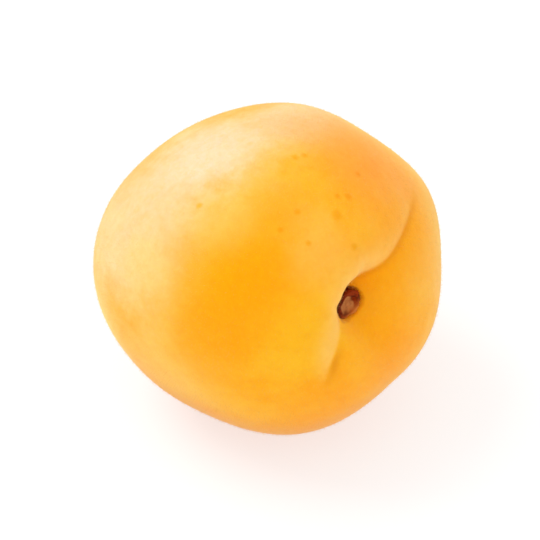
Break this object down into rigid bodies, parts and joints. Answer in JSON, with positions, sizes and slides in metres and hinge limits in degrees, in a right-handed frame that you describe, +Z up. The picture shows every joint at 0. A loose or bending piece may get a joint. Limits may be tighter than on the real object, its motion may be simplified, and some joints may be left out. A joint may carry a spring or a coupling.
{
  "type": "apricot",
  "caption": "Whole ripe apricot lying on its side, with a suture groove between uneven cheeks and a dried stalk remnant in its stem cavity.",
  "frame": {"origin": "centre of the bounding box in X and Y, at the level of the small flat spot that the fruit rests on", "axes": "+Z up from the surface it rests on; the stem end leans up towards +X, and the suture side is towards +Y"},
  "size_m": [0.0508, 0.0524, 0.051],
  "materials": {
    "skin": null,
    "dry_stalk": "dry, dull brown bark"
  },
  "bodies": {
    "root": {"fruit": "skin", "stem_stub": "dry_stalk"}
  },
  "joints": []
}
